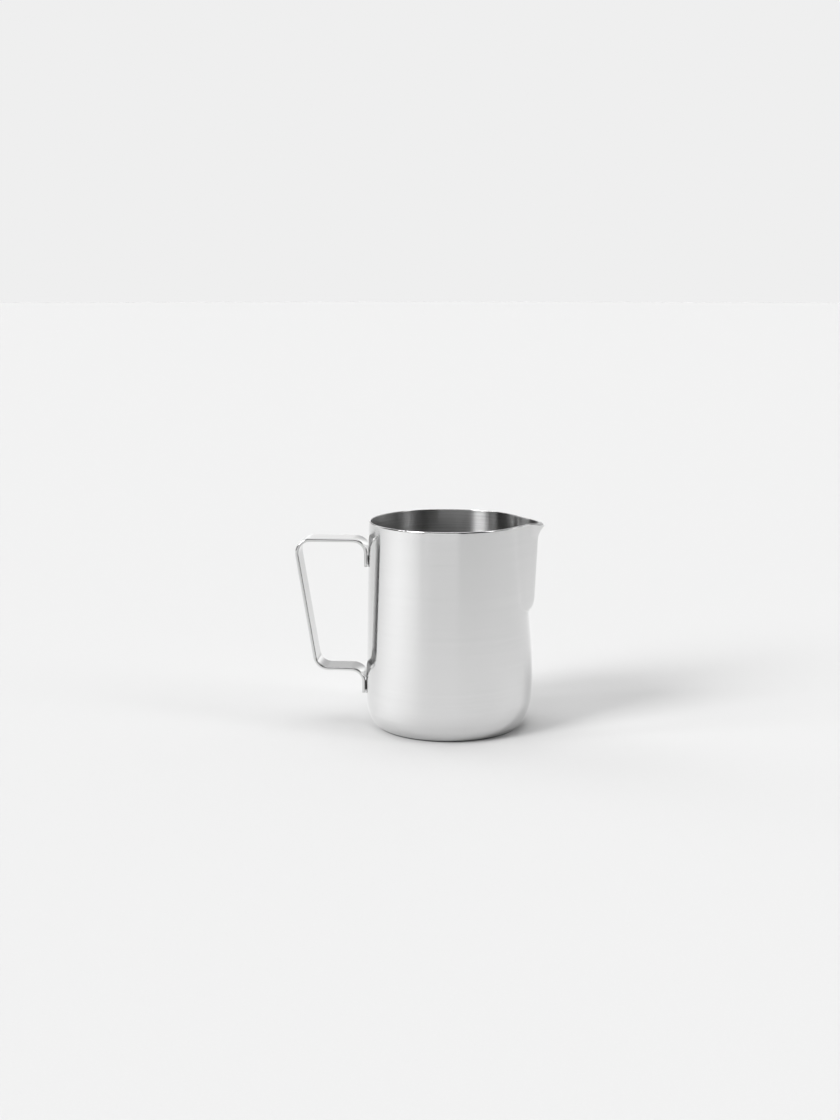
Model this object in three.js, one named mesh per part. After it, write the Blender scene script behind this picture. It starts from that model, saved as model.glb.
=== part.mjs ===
// Milk frothing pitcher: a deep-drawn stainless steel jug with a pressed pouring spout, and a bent strap
// handle whose two tabs are spot-welded to the jug's wall.
// Millimetres, +Z up. The origin is on the jug's axis, on the face it stands on. The spout points along +X
// and the handle along -X.
import * as THREE from "three";

// Jug
const RIM_HEIGHT = 113.5;
const RIM_RADIUS = 42.9;
const BELLY_RADIUS = 45;
const CORNER_WIDTH = 8.5;
const CORNER_HEIGHT = 16.5;
const TAPER_POWER = 1.15;
const SHEET_THICKNESS = 0.9;
const RIM_ROUNDING = 0.3;

// Swell of the wall below the spout, where pressing the spout pushes the sheet out
const SWELL_DEPTH = 2.05;
const SWELL_HEIGHT = 33;
const SWELL_REACH_UP = 40;
const SWELL_HALF_ANGLE = THREE.MathUtils.degToRad(60);

// Spout
const SPOUT_FOOT = 65;
const NOSE_HEIGHT = 9.5;
const NOSE_DEPTH = 3.6;
const RIDGE_SLOPE = 0.07;
const LIP_START = 103;
const LIP_FLARE_RADIUS = 12;
const LIP_INNER_SHARE = 0.5;
const LIP_HALF_ANGLE = THREE.MathUtils.degToRad(13);
const RIDGE_ROUNDING = 0.05;
const CREASE_DEPTH = 0.3;
const CREASE_PLACE = 0.85;
const CREASE_HALF_ANGLE = THREE.MathUtils.degToRad(7);
const TIP_DIP = 0.5;
const TIP_EDGE_DROOP = 1.8;

// Handle strap
const STRAP_WIDTH = 16;
const STRAP_THICKNESS = 1.8;
const STRAP_EDGE_ROUNDING = 0.35;
const TOP_ARM_HEIGHT = 102.7;
const BOTTOM_ARM_HEIGHT = 31.2;
const GRIP_TOP_REACH = 83.4;
const GRIP_FOOT_REACH = 71.7;
const GRIP_BEND_RADIUS = 7.5;
const UPPER_TAB_BEND_RADIUS = 7;
const LOWER_TAB_BEND_RADIUS = 7;
const UPPER_TAB_END = 87.8;
const LOWER_TAB_END = 17.2;
const TAB_CURVE_RADIUS = 60;
const TAB_CORNER_RADIUS = 3;
const JOINT_GAP = 0.3;

// Spot welds, two side by side on each tab
const WELD_RADIUS = 1.8;
const WELD_THICKNESS = 0.2;
const WELD_SPREAD = 4;
const WELD_ABOVE_TAB_END = 3.4;

// Fineness of the faceted solids
const JUG_COLUMNS = 80;
const COLUMN_GATHERING = 0.5;
const CORNER_STEPS = 6;
const BELLY_STEPS = 6;
const SPOUT_STEPS = 16;
const STRAP_STEPS = 10;
const ARC_STEPS = 4;
const WELD_SIDES = 20;

const STEEL = { color: 0xc9c9c7, metalness: 1 };
const jugSteel = new THREE.MeshStandardMaterial({ ...STEEL, roughness: 0.28, name: "jug_steel" });
const strapSteel = new THREE.MeshStandardMaterial({ ...STEEL, roughness: 0.2, name: "strap_steel" });
const weldSteel = new THREE.MeshStandardMaterial({ ...STEEL, roughness: 0.5, name: "weld_steel" });

// A hump that is 1 at the middle and falls smoothly to 0 at distance reach.
function hump(distance, reach) {
  return Math.abs(distance) < reach ? Math.cos((Math.PI / 2) * (distance / reach)) ** 2 : 0;
}

// Outer radius of the round wall above the base corner.
function wallRadius(height) {
  const climb = (height - CORNER_HEIGHT) / (RIM_HEIGHT - CORNER_HEIGHT);
  return BELLY_RADIUS - (BELLY_RADIUS - RIM_RADIUS) * Math.max(climb, 0) ** TAPER_POWER;
}

// How far the spout's ridge stands out from the round wall: a rounded nose at the foot, then a straight
// leaning ridge.
function ridgeDepth(height) {
  if (height <= SPOUT_FOOT) return 0;
  const noseClimb = Math.min((height - SPOUT_FOOT) / NOSE_HEIGHT, 1);
  const nose = NOSE_DEPTH * Math.sqrt(1 - (1 - noseClimb) ** 2);
  const lean = RIDGE_SLOPE * Math.max(height - SPOUT_FOOT - NOSE_HEIGHT, 0);
  return nose + lean;
}

// How far the lip flares out at the ridge, in an arc. The inner skin flares less, so the tip's edge is thick.
function lipFlare(height, inset) {
  const aboveLip = Math.max(height - LIP_START, 0);
  const flare = LIP_FLARE_RADIUS - Math.sqrt(LIP_FLARE_RADIUS ** 2 - aboveLip ** 2);
  return flare * THREE.MathUtils.lerp(1, LIP_INNER_SHARE, inset / SHEET_THICKNESS);
}

// How far the wall swells out below the spout: it grows from the base and fades out upwards.
function swellDepth(height) {
  if (height > SWELL_HEIGHT) return SWELL_DEPTH * hump(height - SWELL_HEIGHT, SWELL_REACH_UP);
  return SWELL_DEPTH * Math.sin((Math.PI / 2) * (height / SWELL_HEIGHT));
}

// Push of the wall out of its round shape. The spout's two flanks leave the round wall along its
// tangents, with a shallow crease there, and meet at the ridge.
function wallPush(angle, height, inset) {
  const swell = swellDepth(height) * hump(angle, SWELL_HALF_ANGLE);
  const depth = ridgeDepth(height);
  if (depth === 0) return swell;
  const outer = wallRadius(height);
  const tangentAngle = Math.acos(outer / (outer + depth)) + RIDGE_ROUNDING;
  const rounded = Math.hypot(angle, RIDGE_ROUNDING);
  const crease = CREASE_DEPTH * hump(Math.abs(angle) - CREASE_PLACE * tangentAngle, CREASE_HALF_ANGLE);
  const fade = depth / (depth + CREASE_DEPTH);
  const radius = outer - inset;
  const flank = rounded < tangentAngle ? radius / Math.cos(tangentAngle - rounded) - radius : 0;
  const lip = lipFlare(height, inset) * hump(angle, LIP_HALF_ANGLE);
  return swell + flank + lip - crease * fade;
}

// Drop of the rim at the spout's tip, larger on the outer skin so that the edge faces out.
function rimDip(angle, height, inset) {
  const climb = THREE.MathUtils.smoothstep(height, LIP_START, RIM_HEIGHT);
  const drop = TIP_DIP + TIP_EDGE_DROOP * (1 - inset / SHEET_THICKNESS);
  return drop * climb * hump(angle, LIP_HALF_ANGLE);
}

// Stations of one skin from the base's centre to the rim, each with its round radius and height.
function skinStations(inset) {
  const stations = [{ radius: 0, height: inset, inset }];
  const footRadius = BELLY_RADIUS - CORNER_WIDTH;
  for (let step = 0; step < CORNER_STEPS; step++) {
    const turn = (Math.PI / 2) * (step / CORNER_STEPS);
    const radius = footRadius + (CORNER_WIDTH - inset) * Math.sin(turn);
    const height = CORNER_HEIGHT - (CORNER_HEIGHT - inset) * Math.cos(turn);
    stations.push({ radius, height, inset });
  }
  const wallStation = (height) => stations.push({ radius: wallRadius(height) - inset, height, inset });
  for (let step = 0; step < BELLY_STEPS; step++) {
    wallStation(THREE.MathUtils.lerp(CORNER_HEIGHT, SPOUT_FOOT, step / BELLY_STEPS));
  }
  for (let step = 0; step <= SPOUT_STEPS; step++) {
    wallStation(THREE.MathUtils.lerp(SPOUT_FOOT, RIM_HEIGHT - RIM_ROUNDING, step / SPOUT_STEPS));
  }
  return stations;
}

// The jug: outer skin, rim and inner skin turned as one closed profile, then pressed into shape.
function makeJugBody() {
  const edge = [RIM_ROUNDING, SHEET_THICKNESS - RIM_ROUNDING].map((inset) => {
    return { radius: RIM_RADIUS - inset, height: RIM_HEIGHT, inset };
  });
  const stations = [...skinStations(0), ...edge, ...skinStations(SHEET_THICKNESS).reverse()];
  const profile = stations.map(({ radius, height }) => new THREE.Vector2(radius, height));
  const geometry = new THREE.LatheGeometry(profile, JUG_COLUMNS);
  geometry.rotateX(Math.PI / 2);
  const position = geometry.getAttribute("position");
  for (let index = 0; index < position.count; index++) {
    const { radius, height, inset } = stations[index % stations.length];
    if (radius === 0) continue;
    const evenAngle = Math.atan2(position.getY(index), position.getX(index));
    const angle = evenAngle - COLUMN_GATHERING * Math.sin(evenAngle);
    const pressedHeight = height - rimDip(angle, height, inset);
    const taper = height > CORNER_HEIGHT ? wallRadius(pressedHeight) - wallRadius(height) : 0;
    const pressedRadius = radius + taper + wallPush(angle, pressedHeight, inset);
    position.setXYZ(index, pressedRadius * Math.cos(angle), pressedRadius * Math.sin(angle), pressedHeight);
  }
  geometry.computeVertexNormals();
  return geometry;
}

// The arc that rounds one corner of the strap's centre line.
function bendAt(before, corner, after, radius) {
  const along = corner.clone().sub(before).normalize();
  const onward = after.clone().sub(corner).normalize();
  const turn = Math.sign(along.cross(onward));
  const sweep = Math.acos(along.dot(onward));
  const start = corner.clone().addScaledVector(along, -radius * Math.tan(sweep / 2));
  const centre = start.clone().add(new THREE.Vector2(-along.y, along.x).multiplyScalar(turn * radius));
  const startAngle = start.clone().sub(centre).angle();
  return { centre, turn, radius, startAngle, endAngle: startAngle + turn * sweep };
}

// Side view of the strap, in x and z: its centre line given its thickness.
function strapOutline() {
  const half = STRAP_THICKNESS / 2;
  const upperTab = -(wallRadius(UPPER_TAB_END) + JOINT_GAP + half);
  const lowerTab = -(wallRadius(LOWER_TAB_END) + JOINT_GAP + half);
  const line = [
    new THREE.Vector2(upperTab, UPPER_TAB_END),
    new THREE.Vector2(upperTab, TOP_ARM_HEIGHT),
    new THREE.Vector2(-GRIP_TOP_REACH, TOP_ARM_HEIGHT),
    new THREE.Vector2(-GRIP_FOOT_REACH, BOTTOM_ARM_HEIGHT),
    new THREE.Vector2(lowerTab, BOTTOM_ARM_HEIGHT),
    new THREE.Vector2(lowerTab, LOWER_TAB_END),
  ];
  const radii = [UPPER_TAB_BEND_RADIUS, GRIP_BEND_RADIUS, GRIP_BEND_RADIUS, LOWER_TAB_BEND_RADIUS];
  const bends = radii.map((radius, i) => bendAt(line[i], line[i + 1], line[i + 2], radius));
  const outline = new THREE.Shape();
  outline.moveTo(upperTab - half, UPPER_TAB_END);
  outline.lineTo(upperTab + half, UPPER_TAB_END);
  for (const { centre, turn, radius, startAngle, endAngle } of bends) {
    outline.absarc(centre.x, centre.y, radius + turn * half, startAngle, endAngle, turn < 0);
  }
  outline.lineTo(lowerTab - half, LOWER_TAB_END);
  outline.lineTo(lowerTab + half, LOWER_TAB_END);
  for (const { centre, turn, radius, startAngle, endAngle } of bends.reverse()) {
    outline.absarc(centre.x, centre.y, radius - turn * half, endAngle, startAngle, turn > 0);
  }
  outline.closePath();
  return outline;
}

// The handle: the side view given its width, with its tabs curved to the jug and their corners rounded.
function makeHandleStrap() {
  const geometry = new THREE.ExtrudeGeometry(strapOutline(), {
    depth: STRAP_WIDTH - 2 * STRAP_EDGE_ROUNDING,
    steps: STRAP_STEPS,
    curveSegments: ARC_STEPS,
    bevelThickness: STRAP_EDGE_ROUNDING,
    bevelSize: STRAP_EDGE_ROUNDING,
    bevelOffset: -STRAP_EDGE_ROUNDING,
    bevelSegments: 2,
  });
  geometry.rotateX(Math.PI / 2);
  geometry.translate(0, STRAP_WIDTH / 2 - STRAP_EDGE_ROUNDING, 0);
  const position = geometry.getAttribute("position");
  const tabReach = BELLY_RADIUS + JOINT_GAP + STRAP_THICKNESS;
  for (let index = 0; index < position.count; index++) {
    const x = position.getX(index);
    const y = position.getY(index);
    const z = position.getZ(index);
    const tabShare = 1 - THREE.MathUtils.smoothstep(-x, tabReach, tabReach + LOWER_TAB_BEND_RADIUS);
    const bow = (tabShare * y ** 2) / (2 * TAB_CURVE_RADIUS);
    const atTabEnd = Math.min(Math.abs(z - UPPER_TAB_END), Math.abs(z - LOWER_TAB_END)) < 2 * STRAP_EDGE_ROUNDING;
    const cornerReach = Math.max(Math.abs(y) - (STRAP_WIDTH / 2 - TAB_CORNER_RADIUS), 0);
    const lift = cornerReach ** 2 / TAB_CORNER_RADIUS;
    position.setXYZ(index, x + bow, y, z + (atTabEnd && -x < tabReach + 1 ? lift : 0));
  }
  geometry.computeVertexNormals();
  return geometry;
}

// One spot weld's nugget, a flat button between the wall and a tab.
function placeWeld(mesh, side, height) {
  const angle = Math.PI - side * Math.asin(WELD_SPREAD / wallRadius(height));
  const reach = wallRadius(height) + JOINT_GAP / 2;
  mesh.position.set(reach * Math.cos(angle), reach * Math.sin(angle), height);
  mesh.rotation.z = angle - Math.PI / 2;
}

const pitcher = new THREE.Group();

const jugBody = new THREE.Mesh(makeJugBody(), jugSteel);
jugBody.name = "jug_body";
pitcher.add(jugBody);

const handleStrap = new THREE.Mesh(makeHandleStrap(), strapSteel);
handleStrap.name = "handle_strap";
pitcher.add(handleStrap);

const weldButton = new THREE.CylinderGeometry(WELD_RADIUS, WELD_RADIUS, WELD_THICKNESS, WELD_SIDES);
for (const [tab, tabEnd] of [["upper", UPPER_TAB_END], ["lower", LOWER_TAB_END]]) {
  for (const [hand, side] of [["left", 1], ["right", -1]]) {
    const weld = new THREE.Mesh(weldButton, weldSteel);
    weld.name = `spot_weld_${tab}_${hand}`;
    placeWeld(weld, side, tabEnd + WELD_ABOVE_TAB_END);
    pitcher.add(weld);
  }
}

export default pitcher;
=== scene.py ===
"""The looks of a stainless steel milk frothing pitcher: the drawn jug with its pressed spout, the bent
strap handle and the spot welds, in metres, +Z up, spout along +X, standing on a pale studio floor."""

import math

import bmesh
import bpy
import numpy as np
from mathutils import Matrix, Vector


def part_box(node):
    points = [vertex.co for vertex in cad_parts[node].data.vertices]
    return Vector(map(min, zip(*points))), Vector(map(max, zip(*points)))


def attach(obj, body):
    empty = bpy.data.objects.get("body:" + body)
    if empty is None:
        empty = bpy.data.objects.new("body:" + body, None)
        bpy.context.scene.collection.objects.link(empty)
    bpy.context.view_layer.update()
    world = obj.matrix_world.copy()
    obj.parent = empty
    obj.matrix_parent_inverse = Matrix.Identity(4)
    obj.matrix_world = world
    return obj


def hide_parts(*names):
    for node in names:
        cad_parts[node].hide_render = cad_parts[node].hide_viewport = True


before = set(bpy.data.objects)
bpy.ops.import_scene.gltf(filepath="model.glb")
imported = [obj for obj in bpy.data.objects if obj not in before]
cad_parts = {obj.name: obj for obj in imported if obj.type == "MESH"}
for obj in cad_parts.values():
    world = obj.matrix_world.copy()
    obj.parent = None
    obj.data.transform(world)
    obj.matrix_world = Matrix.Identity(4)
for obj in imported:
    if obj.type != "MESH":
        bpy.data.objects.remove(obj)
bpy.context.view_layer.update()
jug_low, jug_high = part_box("jug_body")
strap_low, strap_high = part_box("handle_strap")

# Jug
RIM_HEIGHT = jug_high.z
BELLY_RADIUS = jug_high.y
RIM_RADIUS = 0.0429
CORNER_WIDTH = 0.0085
CORNER_HEIGHT = 0.0165
TAPER_POWER = 1.15
SHEET_THICKNESS = 0.0009
FOOT_RADIUS = BELLY_RADIUS - CORNER_WIDTH
RIM_OUTER_DEPTH = 0.00035
RIM_OUTER_DROP = 0.0008
RIM_INNER_DEPTH = 0.0003
RIM_INNER_DROP = 0.0004

# Order of the jug's three materials
OUTSIDE, RIM, INSIDE = range(3)

# Swell of the wall below the spout
SWELL_DEPTH = 0.00205
SWELL_HEIGHT = 0.033
SWELL_REACH_UP = 0.040
SWELL_HALF_ANGLE = math.radians(60)

# Spout
SPOUT_FOOT = 0.065
NOSE_HEIGHT = 0.0095
NOSE_DEPTH = 0.0036
RIDGE_SLOPE = 0.07
LIP_START = 0.103
LIP_FLARE_RADIUS = 0.012
LIP_INNER_SHARE = 0.5
LIP_HALF_ANGLE = math.radians(13)
RIDGE_ROUNDING = 0.05
CREASE_DEPTH = 0.0003
CREASE_PLACE = 0.85
CREASE_HALF_ANGLE = math.radians(7)
TIP_DIP = 0.0005
TIP_EDGE_DROOP = 0.0018

# Handle strap
STRAP_WIDTH = strap_high.y - strap_low.y
STRAP_THICKNESS = 0.0018
STRAP_EDGE_DEPTH = 0.0008
STRAP_EDGE_POWER = 2.15
STRAP_END_ROUNDING = 0.0004
TOP_ARM_HEIGHT = strap_high.z - STRAP_THICKNESS / 2
BOTTOM_ARM_HEIGHT = 0.0312
GRIP_TOP_REACH = 0.0834
GRIP_FOOT_REACH = 0.0717
GRIP_BEND_RADIUS = 0.0075
TAB_BEND_RADIUS = 0.007
UPPER_TAB_END = 0.0878
LOWER_TAB_END = strap_low.z
TAB_CURVE_RADIUS = 0.060
TAB_CORNER_RADIUS = 0.003
TAB_CORNER_FADE = 0.006
FULLY_ON_TAB = 0.9
JOINT_GAP = 0.0003

# Spot welds
WELD_RADIUS = 0.0018
WELD_THICKNESS = 0.0002
WELD_SPREAD = 0.004
WELD_ABOVE_TAB_END = 0.0034
DIMPLE_RADIUS = 0.0021
DIMPLE_DEPTH = 0.00014
DIMPLE_FLAT_SHARE = 0.55
# Section of a nugget from one face to the middle of its edge: shares of its radius and half thickness
NUGGET_EDGE = ((0.45, 1), (0.8, 1), (0.93, 0.85), (1, 0.4))
NUGGET_UNEVENNESS = 0.03

# Fineness of the meshes: the fine rows start a margin below the spout's foot and below its lip
JUG_COLUMNS = 360
WALL_STEP = 0.0015
FINE_STEP = 0.0006
SPOUT_MARGIN = 0.001
LIP_MARGIN = 0.002
CORNER_STEPS = 24
RIM_STEPS = 8
BEND_STEPS = 24
EDGE_STEPS = 6
STRAP_COLUMNS = 38
NUGGET_COLUMNS = 48
FLOOR_SIDES = 96
BASE_RING_SHARES = (0, 0.25, 0.5, 0.75)
# How much closer together the jug's columns stand at the spout and the handle than at the sides
COLUMN_CROWDING = 0.25

# Steel: shares of the fine and the broad grain, how many broad grains there are to one fine grain, the ranges
# of their sum that go over into colour and roughness, and the turn that spreads reflections up and down
FINE_GRAIN_SHARE = 0.65
BROAD_GRAIN_SHARE = 0.35
BROAD_GRAIN_SCALE = 0.12
GRAIN_IN_COLOUR = (0.35, 0.65)
GRAIN_IN_ROUGHNESS = (0.3, 0.7)
SPREAD_UP_AND_DOWN = 0.25

# Camera: from the front, a little above, and turned slightly towards the spout
CAMERA_TARGET = Vector((0, 0, 0.055))
CAMERA_DISTANCE = 0.9
CAMERA_AZIMUTH = math.radians(4)
CAMERA_ELEVATION = math.radians(12.35)
CAMERA_LENS = 52.65
AIM_LEFT_OF_TARGET = math.radians(0.995)
AIM_ABOVE_TARGET = math.radians(2.29)

# Studio: radiance of what stands around the pitcher, and of the backdrop that the camera sees
BACKDROP = 0.863
FRONT_DIM = 0.02
BACK_LOW = 1.5
BACK_HIGH = 0.72
CEILING = 2.9
# Where one of them fades into the next, in degrees: azimuth from the front to either side, then elevations
FRONT_TO_BACK = (95, 120)
BACK_LOW_TO_HIGH = (3, 16)
WALLS_TO_CEILING = (60, 75)
# What else lights or shades the pitcher from afar. Each has its radiance, which is less than 0 where it takes
# light away, and in degrees its middle azimuth from the front to the right, its half width, the softness of
# its sides, and its low and high edge
LIGHTS_AND_CARDS = {
    "key light": (14.0, -49, 10.5, 3, 18, 48),
    "strip light beside the key": (20.0, -73, 1.2, 1.2, 18, 48),
    "low card in front": (1.45, -5, 24, 4, -5, 12),
    "strip light at the right": (4.5, 74, 5.5, 3, 18, 55),
    "card at the right": (0.36, 93, 14, 3, -5, 60),
    "high card at the back left": (1.5, -128, 12, 8, 25, 55),
    "dark card at the back left": (-0.80, -147, 19, 5, 1, 17),
}
LOW_EDGE_SOFTNESS = 4
HIGH_EDGE_SOFTNESS = 6

# Floor: the share of light that it gives back to the steel, painted brighter near the pitcher than far off,
# the share that the camera sees, and the painted contact shadow, a darker ring where the base meets it
FLOOR_RADIUS = 12.0
# Painted light: the floor gives the steel more light near the pitcher than far off
FLOOR_NEAR = 0.87
FLOOR_FAR = 0.75
FLOOR_NEAR_REACH = 0.06
FLOOR_FAR_REACH = 0.60
FLOOR_SHOWN = 0.695
FLOOR_ROUGHNESS = 0.9
FLOOR_TOOTH_GRAIN = (900, 900, 900)
FLOOR_TOOTH_RANGE = (0.985, 1.015)
# Painted contact shadow round the base: the radii over which it fades out, and its darkest share
CONTACT_SHADOW_REACH = (0.0370, 0.0392)
CONTACT_SHADOW_DARK = 0.10

# Light panel lying on the floor at the left, seen only in the steel: its radiance near the pitcher and far
# off, its middle azimuth and half width in degrees, and the distances over which it starts
PANEL_NEAR = 0.31
PANEL_FAR = 0.56
PANEL_MIDDLE = -70
PANEL_HALF_WIDTH = 28
PANEL_START = (0.035, 0.060)


def hump(distance, reach):
    """1 at the middle, falling smoothly to 0 at distance reach."""
    share = np.clip(np.abs(distance) / reach, 0, 1)
    return np.cos(math.pi / 2 * share) ** 2


def smoothstep(value, start, end):
    share = np.clip((value - start) / (end - start), 0, 1)
    return share * share * (3 - 2 * share)


# ---------------------------------------------------------------- jug shape


def wall_radius(height):
    """Outer radius of the round wall above the base corner."""
    climb = np.maximum((height - CORNER_HEIGHT) / (RIM_HEIGHT - CORNER_HEIGHT), 0)
    return BELLY_RADIUS - (BELLY_RADIUS - RIM_RADIUS) * climb**TAPER_POWER


def ridge_depth(height):
    """How far the spout's ridge stands out: a rounded nose at the foot, then a straight leaning ridge."""
    nose_climb = np.clip((height - SPOUT_FOOT) / NOSE_HEIGHT, 0, 1)
    nose = NOSE_DEPTH * np.sqrt(1 - (1 - nose_climb) ** 2)
    return nose + RIDGE_SLOPE * np.maximum(height - SPOUT_FOOT - NOSE_HEIGHT, 0)


def lip_flare(height, inset):
    """How far the lip flares out at the ridge, less on the inner skin."""
    above_lip = np.maximum(height - LIP_START, 0)
    flare = LIP_FLARE_RADIUS - np.sqrt(LIP_FLARE_RADIUS**2 - above_lip**2)
    return flare * (1 - (1 - LIP_INNER_SHARE) * inset / SHEET_THICKNESS)


def swell_depth(height):
    """How far the wall swells out below the spout."""
    rising = np.sin(math.pi / 2 * np.clip(height / SWELL_HEIGHT, 0, 1))
    return SWELL_DEPTH * np.where(height > SWELL_HEIGHT, hump(height - SWELL_HEIGHT, SWELL_REACH_UP), rising)


def wall_push(angle, height, inset):
    """Push of the wall out of its round shape: the swell, the spout's two flanks with a crease beside
    each, and the lip."""
    depth = ridge_depth(height)
    outer = wall_radius(height)
    tangent_angle = np.arccos(outer / (outer + depth)) + RIDGE_ROUNDING
    rounded = np.hypot(angle, RIDGE_ROUNDING)
    crease = CREASE_DEPTH * hump(np.abs(angle) - CREASE_PLACE * tangent_angle, CREASE_HALF_ANGLE)
    fade = depth / (depth + CREASE_DEPTH)
    radius = outer - inset
    past_tangent = np.maximum(tangent_angle - rounded, 0)
    flank = np.where(depth > 0, radius / np.cos(past_tangent) - radius, 0)
    lip = lip_flare(height, inset) * hump(angle, LIP_HALF_ANGLE)
    return swell_depth(height) * hump(angle, SWELL_HALF_ANGLE) + flank + lip - crease * fade


def rim_dip(angle, height, inset):
    """Drop of the rim at the spout's tip, larger on the outer skin."""
    climb = smoothstep(height, LIP_START, RIM_HEIGHT)
    drop = TIP_DIP + TIP_EDGE_DROOP * (1 - inset / SHEET_THICKNESS)
    return drop * climb * hump(angle, LIP_HALF_ANGLE)


def weld_places():
    """Name, side and height of each spot weld."""
    for tab, tab_end in (("upper", UPPER_TAB_END), ("lower", LOWER_TAB_END)):
        for hand, side in (("left", 1), ("right", -1)):
            yield f"{tab}_{hand}", side, tab_end + WELD_ABOVE_TAB_END


def dimples(across, height):
    """Depth of the marks that the welding electrodes left, across the handle's side and up it."""
    depth = np.zeros(np.broadcast(across, height).shape)
    for _, side, weld_height in weld_places():
        distance = np.hypot(across - side * WELD_SPREAD, height - weld_height)
        depth += DIMPLE_DEPTH * smoothstep(distance, DIMPLE_RADIUS, DIMPLE_RADIUS * DIMPLE_FLAT_SHARE)
    return depth


def wall_heights(start, end, fine_ranges):
    """Heights up the wall, closer together inside each of fine_ranges."""
    heights = [start]
    while heights[-1] < end - FINE_STEP:
        fine = any(low <= heights[-1] < high for low, high in fine_ranges)
        heights.append(min(heights[-1] + (FINE_STEP if fine else WALL_STEP), end))
    return heights[:-1]


def skin_rows(inset, top, fine_ranges):
    """Rows of one skin, from the base's centre up to height top: round radius, height and inset."""
    rows = [(FOOT_RADIUS * share, inset, inset) for share in BASE_RING_SHARES]
    for turn in np.linspace(0, math.pi / 2, CORNER_STEPS, endpoint=False):
        radius = FOOT_RADIUS + (CORNER_WIDTH - inset) * math.sin(turn)
        rows.append((radius, CORNER_HEIGHT - (CORNER_HEIGHT - inset) * math.cos(turn), inset))
    for height in wall_heights(CORNER_HEIGHT, top, fine_ranges):
        rows.append((wall_radius(height) - inset, height, inset))
    return rows


def rim_rows():
    """Rows over the rim, from the outer skin to the inner one: a long rounding outside, a short one in."""
    rows = []
    for turn in np.linspace(0, math.pi / 2, RIM_STEPS):
        inset = RIM_OUTER_DEPTH * (1 - math.cos(turn))
        height = RIM_HEIGHT - RIM_OUTER_DROP * (1 - math.sin(turn))
        rows.append((wall_radius(height) - inset, height, inset))
    for turn in np.linspace(math.pi / 2, 0, RIM_STEPS):
        inset = SHEET_THICKNESS - RIM_INNER_DEPTH * (1 - math.cos(turn))
        height = RIM_HEIGHT - RIM_INNER_DROP * (1 - math.sin(turn))
        rows.append((wall_radius(height) - inset, height, inset))
    return rows


def jug_mesh():
    """Vertices, faces and each face's material of the jug: one closed skin out over the rim and in."""
    spout_rows = (SPOUT_FOOT - SPOUT_MARGIN, SPOUT_FOOT + NOSE_HEIGHT)
    lip_rows = (LIP_START - LIP_MARGIN, RIM_HEIGHT)
    weld_rows = [(end, end + 2 * WELD_ABOVE_TAB_END) for end in (UPPER_TAB_END, LOWER_TAB_END)]
    outside = skin_rows(0, RIM_HEIGHT - RIM_OUTER_DROP, [spout_rows, lip_rows])
    rim = rim_rows()
    inner_top = RIM_HEIGHT - RIM_INNER_DROP
    inside = skin_rows(SHEET_THICKNESS, inner_top, [spout_rows, lip_rows, *weld_rows])[::-1]
    rows = np.array(outside + rim + inside)
    radius, height, inset = (rows[:, [i]] for i in range(3))
    even = np.linspace(-math.pi, math.pi, JUG_COLUMNS, endpoint=False)[None, :]
    angle = even - COLUMN_CROWDING * np.sin(2 * even)

    pressed_height = height - rim_dip(angle, height, inset)
    taper = np.where(height > CORNER_HEIGHT, wall_radius(pressed_height) - wall_radius(height), 0)
    push = wall_push(angle, pressed_height, inset) * np.minimum(radius / FOOT_RADIUS, 1)
    pressed_radius = radius + taper + push
    x, y = pressed_radius * np.cos(angle), pressed_radius * np.sin(angle)
    marks = np.where((inset == SHEET_THICKNESS) & (x < 0), dimples(y, pressed_height), 0)
    x, y = x + marks * np.cos(angle), y + marks * np.sin(angle)
    grid = np.stack([x, y, pressed_height + 0 * angle], axis=2)

    vertices = [tuple(p) for p in grid[1:-1].reshape(-1, 3)]
    base_pole, floor_pole = len(vertices), len(vertices) + 1
    vertices += [tuple(grid[0, 0]), tuple(grid[-1, 0])]
    ring_count = len(rows) - 2
    rim_start, inside_start = len(outside), len(outside) + len(rim) - 1
    faces, face_materials = [], []
    for column in range(JUG_COLUMNS):
        beside = (column + 1) % JUG_COLUMNS
        faces.append((base_pole, beside, column))
        face_materials.append(OUTSIDE)
        for ring in range(ring_count - 1):
            first, second = ring * JUG_COLUMNS, (ring + 1) * JUG_COLUMNS
            faces.append((first + column, first + beside, second + beside, second + column))
            row = ring + 1
            face_materials.append(OUTSIDE if row < rim_start else RIM if row < inside_start else INSIDE)
        last = (ring_count - 1) * JUG_COLUMNS
        faces.append((floor_pole, last + column, last + beside))
        face_materials.append(INSIDE)
    return vertices, faces, face_materials


# ---------------------------------------------------------------- handle shape


def bend_points(before, corner, after, radius, steps):
    """Points of the arc that rounds one corner of the strap's centre line."""
    along, onward = (corner - before).normalized(), (after - corner).normalized()
    turn = math.copysign(1, along.cross(onward))
    sweep = along.angle(onward)
    start = corner - along * radius * math.tan(sweep / 2)
    centre = start + Vector((-along.y, along.x)) * turn * radius
    arm = start - centre
    points = []
    for share in np.linspace(0, 1, steps):
        turned = arm.copy()
        turned.rotate(Matrix.Rotation(turn * sweep * share, 2))
        points.append(centre + turned)
    return points


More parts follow.
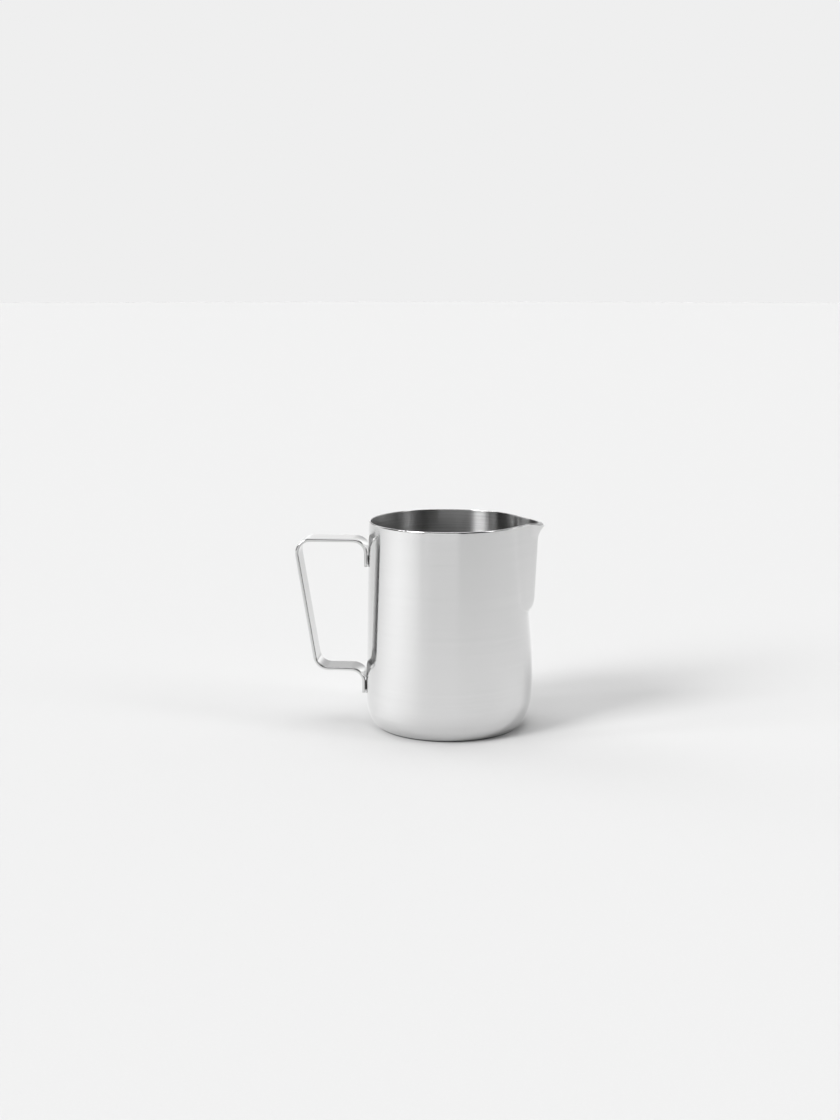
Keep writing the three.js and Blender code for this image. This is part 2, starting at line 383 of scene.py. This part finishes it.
def strap_line():
    """The strap's centre line in x and z, as points close enough together for its curves and marks."""
    half = STRAP_THICKNESS / 2
    upper_tab = -(wall_radius(UPPER_TAB_END) + JOINT_GAP + half)
    lower_tab = -(wall_radius(LOWER_TAB_END) + JOINT_GAP + half)
    corners = [
        Vector((upper_tab, UPPER_TAB_END)),
        Vector((upper_tab, TOP_ARM_HEIGHT)),
        Vector((-GRIP_TOP_REACH, TOP_ARM_HEIGHT)),
        Vector((-GRIP_FOOT_REACH, BOTTOM_ARM_HEIGHT)),
        Vector((lower_tab, BOTTOM_ARM_HEIGHT)),
        Vector((lower_tab, LOWER_TAB_END)),
    ]
    radii = (TAB_BEND_RADIUS, GRIP_BEND_RADIUS, GRIP_BEND_RADIUS, TAB_BEND_RADIUS)
    stops = [corners[0]]
    for i, radius in enumerate(radii):
        stops += bend_points(corners[i], corners[i + 1], corners[i + 2], radius, BEND_STEPS)
    stops.append(corners[-1])
    line = [stops[0]]
    for stop in stops[1:]:
        start = line[-1].copy()
        on_tab = max(start.x, stop.x) > lower_tab - half
        count = max(1, math.ceil((stop - start).length / (FINE_STEP if on_tab else WALL_STEP)))
        line += [start.lerp(stop, k / count) for k in range(1, count + 1)]
    return line


def rounded_ends(line):
    """The line's points with close rows added at both ends for the rounded end edges, and how much
    thinner the strap is at each."""
    turns = np.linspace(0, math.pi / 2, EDGE_STEPS)
    roundings = [STRAP_END_ROUNDING * (1 - math.cos(turn)) for turn in turns]
    first = (line[1] - line[0]).normalized()
    last = (line[-1] - line[-2]).normalized()
    head = [line[0] + first * reach for reach in roundings]
    tail = [line[-1] - last * reach for reach in reversed(roundings)]
    middle = line[2:-2]
    points = head + middle + tail
    thinning = [STRAP_END_ROUNDING - math.sqrt(max(2 * STRAP_END_ROUNDING * r - r * r, 0)) for r in roundings]
    return points, thinning + [0] * len(middle) + thinning[::-1]


def strap_section():
    """One turn round the strap's section: place across the width, and share of the half thickness.
    The first half goes over the outer face, and the rest back over the inner one."""
    flat_half = STRAP_WIDTH / 2 - STRAP_EDGE_DEPTH
    left = []
    for turn in np.linspace(0, math.pi / 2, EDGE_STEPS, endpoint=False):
        across = -flat_half - STRAP_EDGE_DEPTH * math.cos(turn) ** (2 / STRAP_EDGE_POWER)
        left.append((across, math.sin(turn) ** (2 / STRAP_EDGE_POWER)))
    flat = [(across, 1) for across in np.linspace(-flat_half, flat_half, STRAP_COLUMNS)]
    right = [(-across, share) for across, share in reversed(left)]
    over = left + flat + right
    back = [(across, -share) for across, share in reversed(over[1:-1])]
    return over + back, len(over)


def strap_mesh():
    """Vertices and faces of the handle: its section swept along its line, with curved, rounded tabs."""
    line, thinning = rounded_ends(strap_line())
    section, over_count = strap_section()
    tab_reach = BELLY_RADIUS + JOINT_GAP + STRAP_THICKNESS
    vertices = []
    for i, centre in enumerate(line):
        along = (line[min(i + 1, len(line) - 1)] - line[max(i - 1, 0)]).normalized()
        outward = Vector((-along.y, along.x))
        half = STRAP_THICKNESS / 2 - thinning[i]
        for across, share in section:
            point = centre + outward * half * share
            on_tab = 1 - smoothstep(-point.x, tab_reach, tab_reach + TAB_BEND_RADIUS)
            bow = on_tab * across**2 / (2 * TAB_CURVE_RADIUS)
            corner = max(abs(across) - (STRAP_WIDTH / 2 - TAB_CORNER_RADIUS), 0)
            lift = TAB_CORNER_RADIUS - math.sqrt(max(TAB_CORNER_RADIUS**2 - corner**2, 0))
            from_end = min(abs(point.y - UPPER_TAB_END), abs(point.y - LOWER_TAB_END))
            lift *= max(1 - from_end / TAB_CORNER_FADE, 0) if on_tab > FULLY_ON_TAB else 0
            mark = float(dimples(across, point.y)) * on_tab if share == 1 else 0
            vertices.append((point.x + bow + mark, across, point.y + lift))
    size = len(section)
    faces = []
    for i in range(len(line) - 1):
        for k in range(size):
            here, beside = i * size + k, i * size + (k + 1) % size
            faces.append((here, beside, beside + size, here + size))
    for start, flip in ((0, False), ((len(line) - 1) * size, True)):
        for k in range(over_count - 1):
            under, under_next = (size - k) % size, size - k - 1
            cap = [start + k, start + k + 1, start + under_next, start + under]
            cap = list(dict.fromkeys(cap))
            faces.append(tuple(reversed(cap)) if flip else tuple(cap))
    return vertices, faces


# ---------------------------------------------------------------- weld nuggets


def nugget_mesh(side, height):
    """A flat puddle of fused steel, slightly uneven round its edge, between the wall and a tab."""
    angle = math.pi - side * math.asin(WELD_SPREAD / wall_radius(height))
    outward = Vector((math.cos(angle), math.sin(angle), 0))
    sideways = Vector((-math.sin(angle), math.cos(angle), 0))
    middle = outward * (wall_radius(height) + JOINT_GAP / 2) + Vector((0, 0, height))
    profile = NUGGET_EDGE + tuple((reach, -rise) for reach, rise in reversed(NUGGET_EDGE))
    vertices = [middle + outward * WELD_THICKNESS / 2]
    for reach, rise in profile:
        for turn in np.linspace(0, 2 * math.pi, NUGGET_COLUMNS, endpoint=False):
            unevenness = NUGGET_UNEVENNESS * math.cos(3 * turn + side)
            radius = WELD_RADIUS * reach * (1 - NUGGET_UNEVENNESS + unevenness)
            ring = sideways * radius * math.cos(turn) + Vector((0, 0, radius * math.sin(turn)))
            vertices.append(middle + ring + outward * rise * WELD_THICKNESS / 2)
    vertices.append(middle - outward * WELD_THICKNESS / 2)
    faces = []
    last = len(vertices) - 1
    for k in range(NUGGET_COLUMNS):
        beside = (k + 1) % NUGGET_COLUMNS
        faces.append((0, 1 + k, 1 + beside))
        for ring in range(len(profile) - 1):
            start = 1 + ring * NUGGET_COLUMNS
            above = start + NUGGET_COLUMNS
            faces.append((start + k, above + k, above + beside, start + beside))
        faces.append((last, last - NUGGET_COLUMNS + beside, last - NUGGET_COLUMNS + k))
    return vertices, faces


# ---------------------------------------------------------------- materials


class Wiring:
    """Short calls that add and link the nodes of one tree."""

    def __init__(self, tree):
        self.tree = tree
        tree.nodes.clear()

    def node(self, kind, inputs=(), **settings):
        made = self.tree.nodes.new(kind)
        for key, value in settings.items():
            setattr(made, key, value)
        for key, value in dict(inputs).items():
            self.feed(made.inputs[key], value)
        return made

    def feed(self, socket, value):
        if isinstance(value, bpy.types.NodeSocket):
            self.tree.links.new(value, socket)
        else:
            socket.default_value = value

    def math(self, operation, *values):
        return self.node("ShaderNodeMath", dict(enumerate(values)), operation=operation).outputs[0]

    def ramp(self, value, low, high, to_low, to_high, smooth=False):
        """value taken from the range low to high into the range to_low to to_high."""
        kind = "SMOOTHSTEP" if smooth else "LINEAR"
        inputs = {"Value": value, "From Min": low, "From Max": high, "To Min": to_low, "To Max": to_high}
        return self.node("ShaderNodeMapRange", inputs, interpolation_type=kind).outputs["Result"]

    def streaks(self, coordinates, scale, detail=3.0):
        """Noise drawn out into fine lines: scale gives how many features there are per metre each way."""
        stretched = self.node("ShaderNodeMapping", {"Vector": coordinates, "Scale": scale}).outputs["Vector"]
        inputs = {"Vector": stretched, "Scale": 1.0, "Detail": detail, "Roughness": 0.6}
        return self.node("ShaderNodeTexNoise", inputs).outputs["Fac"]

    def azimuth(self, x, y):
        """Direction round the pitcher in radians: 0 at the front and positive to the right."""
        return self.math("ARCTAN2", x, self.math("MULTIPLY", y, -1.0))

    def mix(self, factor, dark, light):
        """A colour between two colours, by factor."""
        made = self.node("ShaderNodeMix", data_type="RGBA")
        self.feed(made.inputs[0], factor)
        self.feed(made.inputs[6], (*dark, 1))
        self.feed(made.inputs[7], (*light, 1))
        return made.outputs[2]


def steel(name, dark, light, roughness, grain, grain_height, anisotropy=0.0):
    """A brushed or polished steel. grain gives how many grains there are per metre along x, y and z, so
    the lines run along the axes with the small numbers."""
    material = bpy.data.materials.new(name)
    material.use_nodes = True
    wires = Wiring(material.node_tree)
    place = wires.node("ShaderNodeTexCoord").outputs["Object"]
    fine = wires.streaks(place, grain)
    broad = wires.streaks(place, tuple(count * BROAD_GRAIN_SCALE for count in grain), detail=2.0)
    fine_part = wires.math("MULTIPLY", fine, FINE_GRAIN_SHARE)
    both = wires.math("ADD", fine_part, wires.math("MULTIPLY", broad, BROAD_GRAIN_SHARE))
    colour = wires.mix(wires.ramp(both, *GRAIN_IN_COLOUR, 0, 1), dark, light)
    rough = wires.ramp(both, *GRAIN_IN_ROUGHNESS, *roughness)
    bump = wires.node("ShaderNodeBump", {"Height": fine, "Distance": grain_height, "Strength": 1.0})
    inputs = {"Base Color": colour, "Metallic": 1.0, "Roughness": rough, "Normal": bump.outputs["Normal"]}
    shader = wires.node("ShaderNodeBsdfPrincipled", inputs)
    if anisotropy:
        shader.inputs["Anisotropic"].default_value = anisotropy
        shader.inputs["Anisotropic Rotation"].default_value = SPREAD_UP_AND_DOWN
        around = wires.node("ShaderNodeTangent", direction_type="RADIAL", axis="Z")
        wires.feed(shader.inputs["Tangent"], around.outputs["Tangent"])
    wires.node("ShaderNodeOutputMaterial", {"Surface": shader.outputs[0]})
    return material


def outside_steel():
    """The jug's outside: polished, with a faint grain round the wall."""
    return steel(
        "outside_steel",
        dark=(0.58, 0.58, 0.58),
        light=(0.605, 0.605, 0.605),
        roughness=(0.12, 0.135),
        grain=(14, 14, 1500),
        grain_height=1.5e-6,
        anisotropy=0.9,
    )


def inside_steel():
    """The jug's inside: brushed round the wall."""
    return steel(
        "inside_steel",
        dark=(0.42, 0.42, 0.42),
        light=(0.56, 0.56, 0.56),
        roughness=(0.27, 0.32),
        grain=(18, 18, 1400),
        grain_height=1.1e-5,
        anisotropy=0.98,
    )


def rim_steel():
    """The rim's edge: ground and polished."""
    return steel(
        "rim_steel",
        dark=(0.57, 0.57, 0.57),
        light=(0.62, 0.62, 0.62),
        roughness=(0.10, 0.15),
        grain=(60, 60, 900),
        grain_height=1e-6,
    )


def strap_steel():
    """The handle: polished, with faint lines along the strap."""
    return steel(
        "strap_steel",
        dark=(0.48, 0.48, 0.48),
        light=(0.53, 0.53, 0.53),
        roughness=(0.08, 0.13),
        grain=(20, 1500, 20),
        grain_height=1e-6,
    )


def weld_steel():
    """Fused steel with a straw and blue heat tint."""
    return steel(
        "weld_steel",
        dark=(0.34, 0.33, 0.38),
        light=(0.58, 0.52, 0.42),
        roughness=(0.42, 0.60),
        grain=(900, 900, 900),
        grain_height=2e-5,
    )


def panel_glow(wires, place, off_middle, seen):
    """Radiance of the light panel at a place on the floor, and 0 to the camera, which doesn't see it."""
    x, y, _ = wires.node("ShaderNodeSeparateXYZ", {"Vector": place}).outputs
    off_panel = wires.math("SUBTRACT", wires.azimuth(x, y), math.radians(PANEL_MIDDLE))
    light = wires.ramp(off_middle, FLOOR_NEAR_REACH, FLOOR_FAR_REACH, PANEL_NEAR, PANEL_FAR)
    reach = math.radians(2 * PANEL_HALF_WIDTH)
    across = wires.ramp(wires.math("ABSOLUTE", off_panel), 0, reach, light, 0, smooth=True)
    panel = wires.math("MULTIPLY", across, wires.ramp(off_middle, *PANEL_START, 0, 1, smooth=True))
    return wires.math("MULTIPLY", panel, wires.math("SUBTRACT", 1.0, seen))


def floor_paper():
    """The studio's pale matt floor, which lights the steel more than it shows itself."""
    material = bpy.data.materials.new("floor_paper")
    material.use_nodes = True
    material.cycles.emission_sampling = "NONE"
    wires = Wiring(material.node_tree)
    place = wires.node("ShaderNodeTexCoord").outputs["Object"]
    off_middle = wires.node("ShaderNodeVectorMath", {0: place}, operation="LENGTH").outputs["Value"]
    seen = wires.node("ShaderNodeLightPath").outputs["Is Camera Ray"]
    # Painted light: the floor's colour is brighter near the pitcher than far off, for every ray but the
    # camera's
    painted_light_near_pitcher = wires.ramp(off_middle, FLOOR_NEAR_REACH, FLOOR_FAR_REACH, FLOOR_NEAR, FLOOR_FAR)
    shown = wires.node("ShaderNodeMix", {0: seen, 2: painted_light_near_pitcher, 3: FLOOR_SHOWN}, data_type="FLOAT").outputs[0]
    tooth = wires.ramp(wires.streaks(place, FLOOR_TOOTH_GRAIN), 0, 1, *FLOOR_TOOTH_RANGE)
    # Painted contact shadow: the floor's colour is darker in a ring round the base
    painted_contact_shadow = wires.ramp(off_middle, *CONTACT_SHADOW_REACH, CONTACT_SHADOW_DARK, 1, smooth=True)
    grey = wires.math("MULTIPLY", wires.math("MULTIPLY", shown, tooth), painted_contact_shadow)
    colour = wires.node("ShaderNodeCombineColor", {"Red": grey, "Green": grey, "Blue": grey}).outputs[0]
    inputs = {
        "Base Color": colour,
        "Roughness": FLOOR_ROUGHNESS,
        "Specular IOR Level": 0.0,
        "Emission Color": (1, 1, 1, 1),
        "Emission Strength": panel_glow(wires, place, off_middle, seen),
    }
    shader = wires.node("ShaderNodeBsdfPrincipled", inputs)
    wires.node("ShaderNodeOutputMaterial", {"Surface": shader.outputs[0]})
    return material


# ---------------------------------------------------------------- pieces


def add_object(name, vertices, faces, materials, face_materials=None):
    """A smooth-shaded mesh object with its faces turned outwards."""
    mesh = bpy.data.meshes.new(name)
    mesh.from_pydata(vertices, [], faces)
    for material in materials:
        mesh.materials.append(material)
    if face_materials:
        mesh.polygons.foreach_set("material_index", face_materials)
    mesh.polygons.foreach_set("use_smooth", [True] * len(faces))
    shape = bmesh.new()
    shape.from_mesh(mesh)
    bmesh.ops.recalc_face_normals(shape, faces=shape.faces)
    shape.to_mesh(mesh)
    shape.free()
    made = bpy.data.objects.new(name, mesh)
    bpy.context.scene.collection.objects.link(made)
    return made


def add_jug():
    vertices, faces, face_materials = jug_mesh()
    materials = [outside_steel(), rim_steel(), inside_steel()]
    jug = add_object("jug", vertices, faces, materials, face_materials)
    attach(jug, "root")
    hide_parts("jug_body")


def add_handle():
    handle = add_object("handle", *strap_mesh(), [strap_steel()])
    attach(handle, "root")
    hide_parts("handle_strap")


def add_welds():
    material = weld_steel()
    for place, side, height in weld_places():
        nugget = add_object(f"weld_nugget_{place}", *nugget_mesh(side, height), [material])
        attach(nugget, "root")
        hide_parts(f"spot_weld_{place}")


def add_floor():
    turns = np.linspace(0, 2 * math.pi, FLOOR_SIDES, endpoint=False)
    ring = [(FLOOR_RADIUS * math.cos(turn), FLOOR_RADIUS * math.sin(turn), 0) for turn in turns]
    floor = add_object("floor", ring, [tuple(range(len(ring)))], [floor_paper()])


# ---------------------------------------------------------------- camera and studio


def add_camera():
    outward = Vector((math.sin(CAMERA_AZIMUTH), -math.cos(CAMERA_AZIMUTH), 0)) * math.cos(CAMERA_ELEVATION)
    outward.z = math.sin(CAMERA_ELEVATION)
    camera = bpy.data.objects.new("camera", bpy.data.cameras.new("camera"))
    camera.location = CAMERA_TARGET + outward * CAMERA_DISTANCE
    pitch = math.pi / 2 - CAMERA_ELEVATION + AIM_ABOVE_TARGET
    camera.rotation_euler = (pitch, 0, CAMERA_AZIMUTH + AIM_LEFT_OF_TARGET)
    camera.data.lens = CAMERA_LENS
    bpy.context.scene.collection.objects.link(camera)
    bpy.context.scene.camera = camera


def fade(wires, value, between, start, end):
    """start below the two angles between, in degrees, end above them, and a smooth change from one to the
    other. value is an angle in radians."""
    low, high = (math.radians(angle) for angle in between)
    return wires.ramp(value, low, high, start, end, smooth=True)


def patch(wires, azimuth, elevation, middle, half_width, softness, low, high):
    """1 inside a soft-edged patch of the surroundings, and 0 outside it. middle to high are in degrees."""
    off_middle = wires.math("ABSOLUTE", wires.math("SUBTRACT", azimuth, math.radians(middle)))
    across = fade(wires, off_middle, (half_width - softness, half_width + softness), 1, 0)
    above = fade(wires, elevation, (low - LOW_EDGE_SOFTNESS, low + LOW_EDGE_SOFTNESS), 0, 1)
    below = fade(wires, elevation, (high - HIGH_EDGE_SOFTNESS, high + HIGH_EDGE_SOFTNESS), 1, 0)
    return wires.math("MULTIPLY", across, wires.math("MULTIPLY", above, below))


def surroundings(wires):
    """Radiance of what stands round the pitcher, in every direction."""
    direction = wires.node("ShaderNodeTexCoord").outputs["Generated"]
    x, y, z = wires.node("ShaderNodeSeparateXYZ", {"Vector": direction}).outputs
    azimuth = wires.azimuth(x, y)
    elevation = wires.math("ARCSINE", z)
    back = fade(wires, elevation, BACK_LOW_TO_HIGH, BACK_LOW, BACK_HIGH)
    walls = fade(wires, wires.math("ABSOLUTE", azimuth), FRONT_TO_BACK, FRONT_DIM, back)
    to_ceiling = fade(wires, elevation, WALLS_TO_CEILING, 0, 1)
    walls_part = wires.math("MULTIPLY", walls, wires.math("SUBTRACT", 1.0, to_ceiling))
    light = wires.math("ADD", walls_part, wires.math("MULTIPLY", to_ceiling, CEILING))
    for strength, *place in LIGHTS_AND_CARDS.values():
        area = patch(wires, azimuth, elevation, *place)
        light = wires.math("ADD", light, wires.math("MULTIPLY", area, strength))
    return light


def add_studio():
    """Soft light from all round: a bright back and ceiling, a dark front, a large softbox at the left
    front and smaller lights and cards round about. The camera sees only an even backdrop."""
    world = bpy.data.worlds.new("studio")
    world.use_nodes = True
    bpy.context.scene.world = world
    wires = Wiring(world.node_tree)
    light = surroundings(wires)
    seen = wires.node("ShaderNodeLightPath").outputs["Is Camera Ray"]
    shown = wires.node("ShaderNodeMix", {0: seen, 2: light, 3: BACKDROP}, data_type="FLOAT").outputs[0]
    background = wires.node("ShaderNodeBackground", {"Color": (1, 1, 1, 1), "Strength": shown})
    wires.node("ShaderNodeOutputWorld", {"Surface": background.outputs[0]})
    bpy.context.scene.view_settings.view_transform = "Standard"


add_camera()
add_studio()
add_floor()
add_jug()
add_handle()
add_welds()

bpy.context.view_layer.update()
